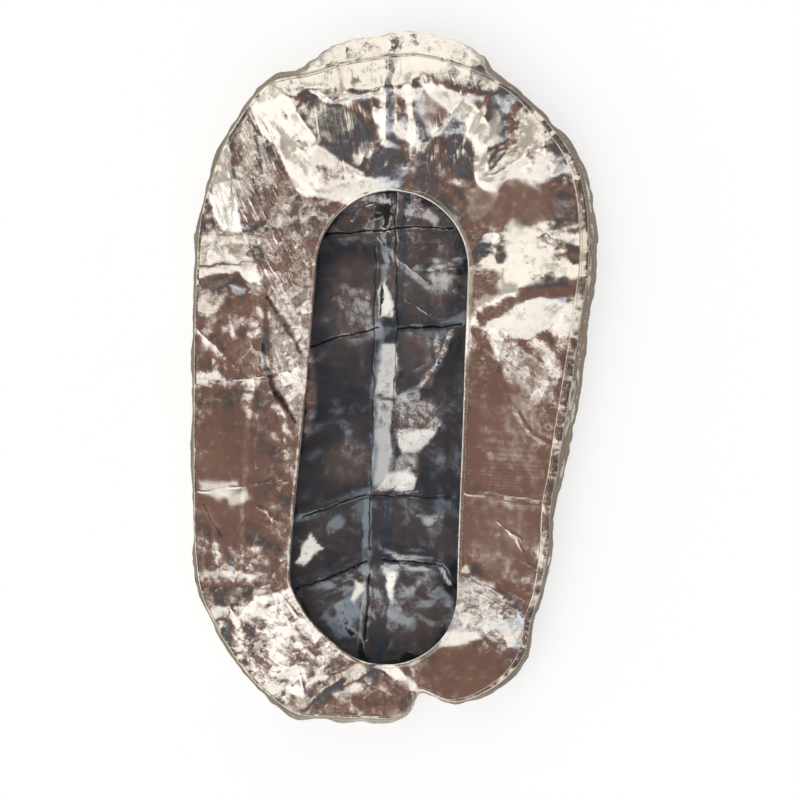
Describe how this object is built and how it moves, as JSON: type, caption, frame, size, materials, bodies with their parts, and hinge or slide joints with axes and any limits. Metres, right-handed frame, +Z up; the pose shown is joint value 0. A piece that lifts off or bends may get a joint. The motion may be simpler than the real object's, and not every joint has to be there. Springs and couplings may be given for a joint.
{
  "type": "emergency fire shelter",
  "caption": "Foil-faced cloth shelter lying on its back: a shallow shell with gathered ends, a floor panel with a long rounded opening on top, and a taped seam between them.",
  "frame": {"origin": "on the surface that the shelter lies on, under the centre of its outline", "axes": "+Z up, out of the opening; +Y along the length, towards the head end; +X to the right of a viewer above"},
  "size_m": [1.0167, 1.7356, 0.1633],
  "materials": {
    "shell_foil": "crinkled foil on woven glass cloth, dark and glossy on the inside",
    "floor_foil": "crinkled foil on woven glass cloth, lightly scuffed",
    "tape_foil": "satin foil tape with rows of stitches"
  },
  "bodies": {
    "root": {"shell": "shell_foil", "floor_panel": "floor_foil", "seam_tape": "tape_foil"}
  },
  "joints": []
}
